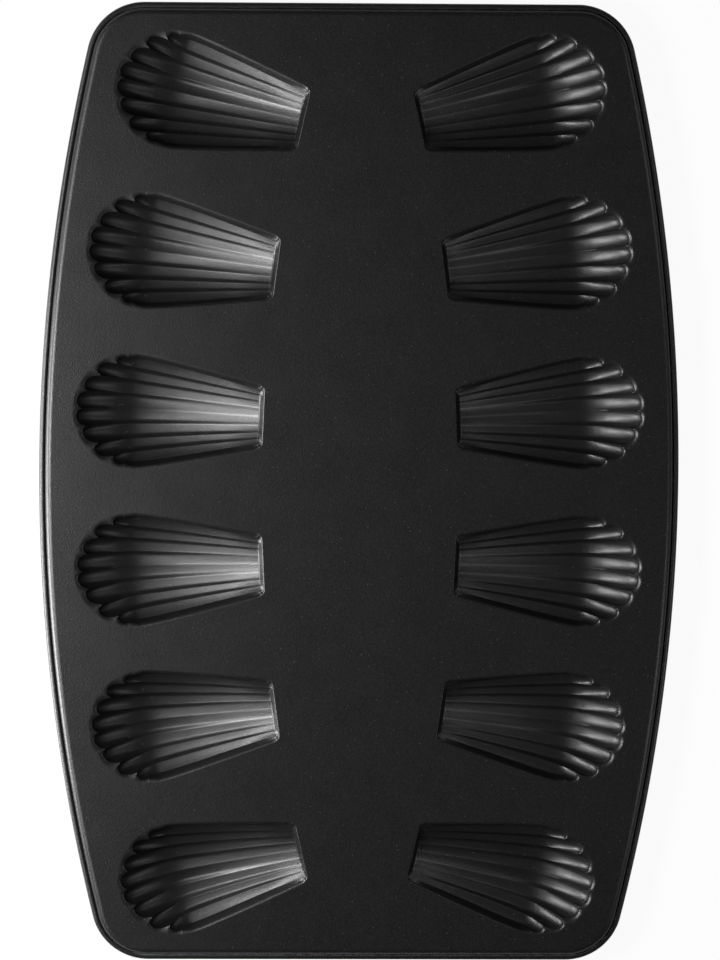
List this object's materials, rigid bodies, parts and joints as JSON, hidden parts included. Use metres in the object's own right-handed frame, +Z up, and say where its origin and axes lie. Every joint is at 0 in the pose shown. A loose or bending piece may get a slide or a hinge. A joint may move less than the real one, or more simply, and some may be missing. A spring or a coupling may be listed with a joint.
{
  "type": "madeleine pan",
  "caption": "Shallow dark non-stick baking pan with two columns of fluted shell-shaped cups, gently bowed long sides and an edge rolled over a wire.",
  "frame": {"origin": "middle of the pan's length and width, on the plane that the undersides of the cups stand on", "axes": "+Z up, out of the mouths of the cups; +Y along the pan, parallel to the columns of cups; +X across the pan, towards the column whose cups have their round ends at +X"},
  "size_m": [0.266, 0.4, 0.0145],
  "materials": {
    "nonstick_coat": "dark charcoal non-stick coating, semi-matt with a fine grain",
    "rim_wire": "bare drawn steel wire"
  },
  "bodies": {
    "root": {"deck": "nonstick_coat", "cup_left_1": "nonstick_coat", "cup_left_2": "nonstick_coat", "cup_left_3": "nonstick_coat", "cup_left_4": "nonstick_coat", "cup_left_5": "nonstick_coat", "cup_left_6": "nonstick_coat", "cup_right_1": "nonstick_coat", "cup_right_2": "nonstick_coat", "cup_right_3": "nonstick_coat", "cup_right_4": "nonstick_coat", "cup_right_5": "nonstick_coat", "cup_right_6": "nonstick_coat", "rolled_rim": "nonstick_coat", "rim_wire": "rim_wire"}
  },
  "joints": []
}
